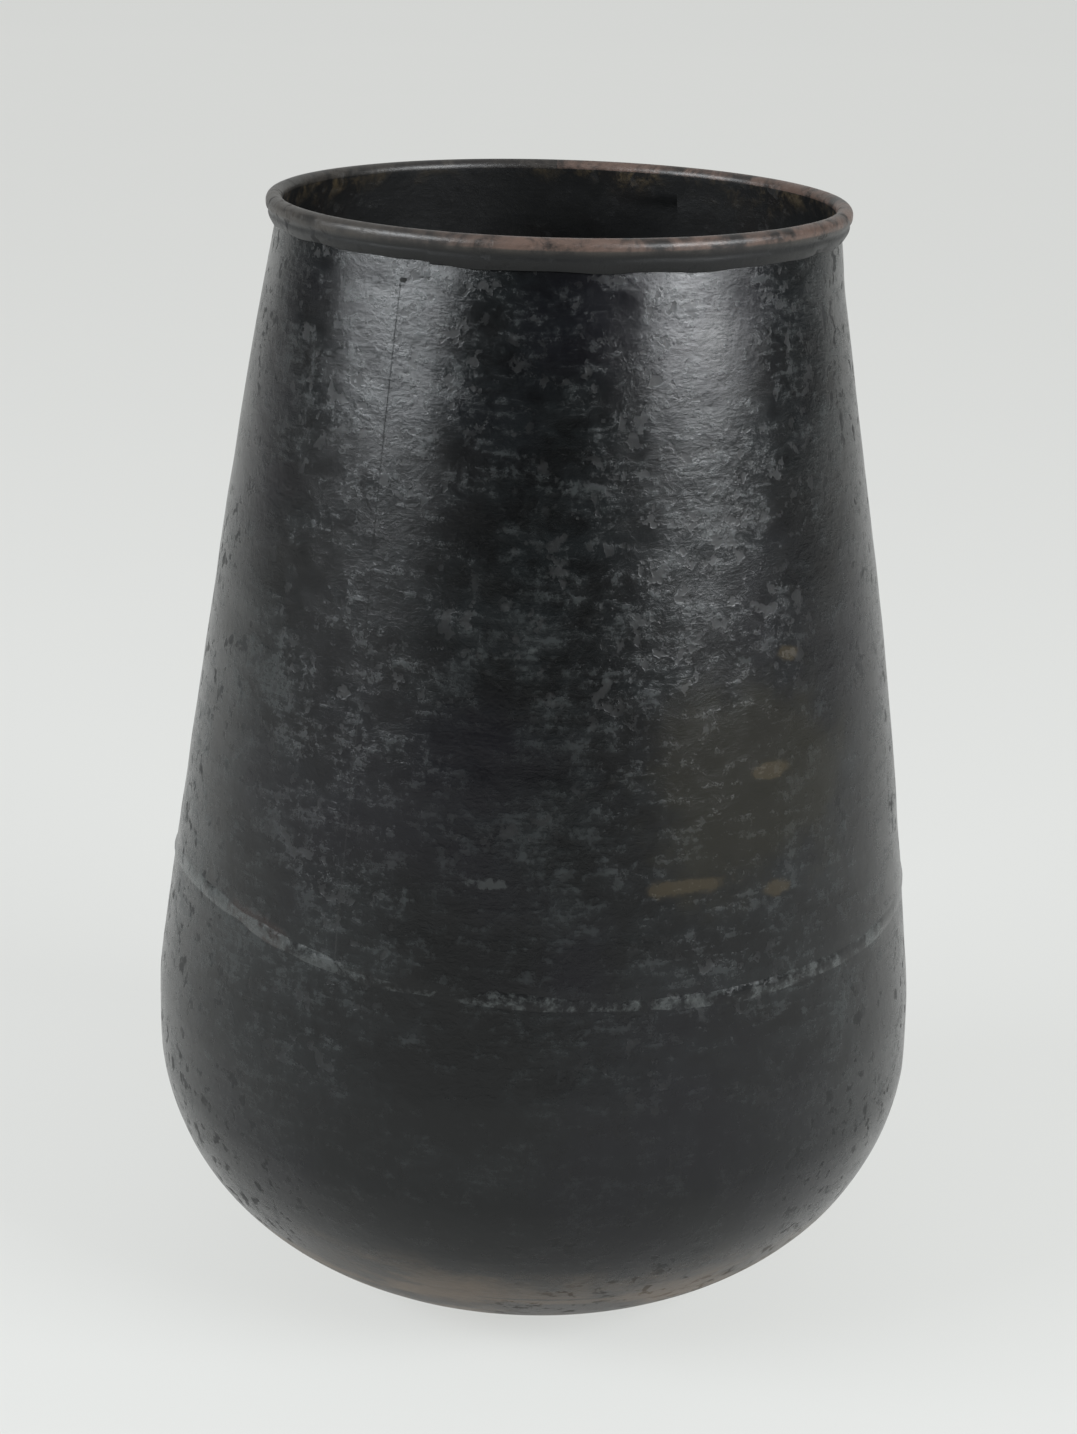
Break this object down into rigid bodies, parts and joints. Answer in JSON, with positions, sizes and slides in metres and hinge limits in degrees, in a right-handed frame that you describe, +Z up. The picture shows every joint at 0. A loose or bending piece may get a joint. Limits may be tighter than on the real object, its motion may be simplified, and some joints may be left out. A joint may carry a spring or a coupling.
{
  "type": "beaten copper vessel",
  "caption": "Tall open-mouthed vessel of blackened beaten copper sheet, with a flat foot, a rounded belly, tapering walls and a rim rolled over wire.",
  "frame": {"origin": "middle of the flat foot, on the surface that the vessel stands on", "axes": "+Z up along the vessel's axis; -Y is the front, with a side seam 24 degrees to the left of it; +X is the front's right"},
  "size_m": [0.2834, 0.2834, 0.4],
  "materials": {
    "blackened_wall": "satin",
    "blackened_bowl": "satin",
    "rim_wire": "satin",
    "seam_brass": "satin"
  },
  "bodies": {
    "root": {"raised_bowl": "blackened_bowl", "wall_sheet_right": "blackened_wall", "wall_sheet_left": "blackened_wall", "rim_wire": "rim_wire", "belly_seam_filler": "seam_brass", "front_seam_filler": "seam_brass", "back_seam_filler": "seam_brass"}
  },
  "joints": []
}
